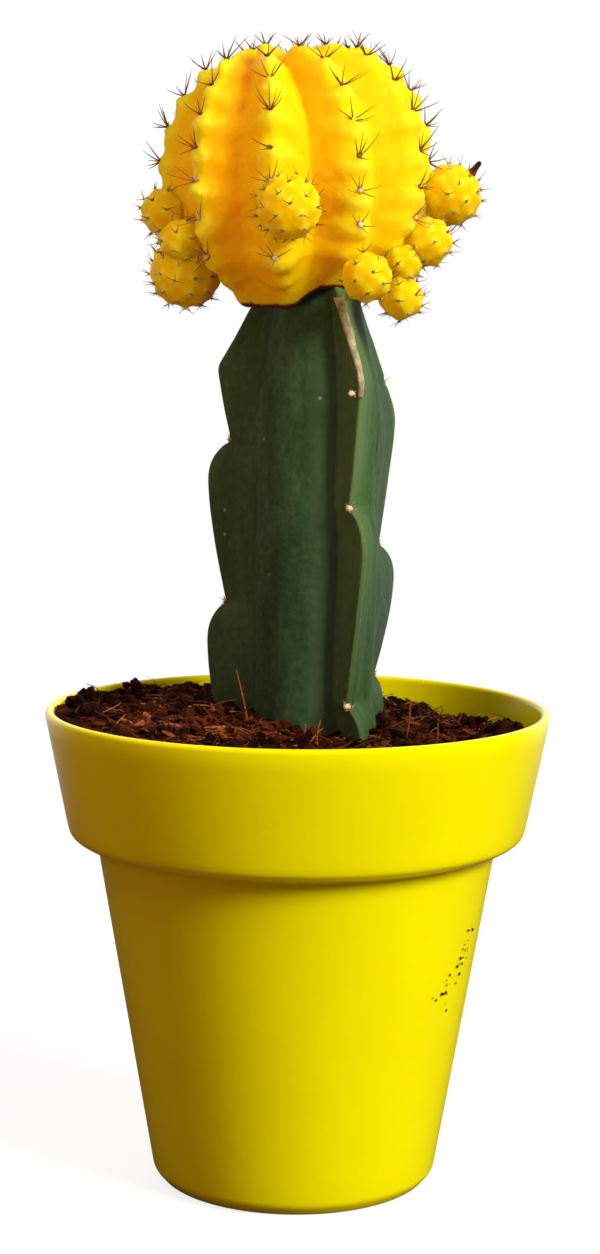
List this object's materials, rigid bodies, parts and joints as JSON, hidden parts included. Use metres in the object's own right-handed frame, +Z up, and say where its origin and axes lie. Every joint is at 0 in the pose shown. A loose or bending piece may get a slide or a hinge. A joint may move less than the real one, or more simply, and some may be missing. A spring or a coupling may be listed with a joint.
{
  "type": "potted moon cactus",
  "caption": "Potted moon cactus: a yellow ribbed ball with offsets, grafted on a green winged stem, in coir mix in a small glossy yellow pot.",
  "frame": {"origin": "centre of the circle that the pot stands on", "axes": "+Z up along the pot's axis, -Y towards the viewer of the picture, +X to that viewer's right"},
  "size_m": [0.06, 0.06, 0.1369],
  "materials": {
    "pot_plastic": "gloss",
    "coir_mix": "matte",
    "green_flesh": "satin",
    "yellow_flesh": "satin"
  },
  "bodies": {
    "root": {"pot": "pot_plastic", "soil": "coir_mix", "rootstock": "green_flesh", "scion": "yellow_flesh"}
  },
  "joints": []
}
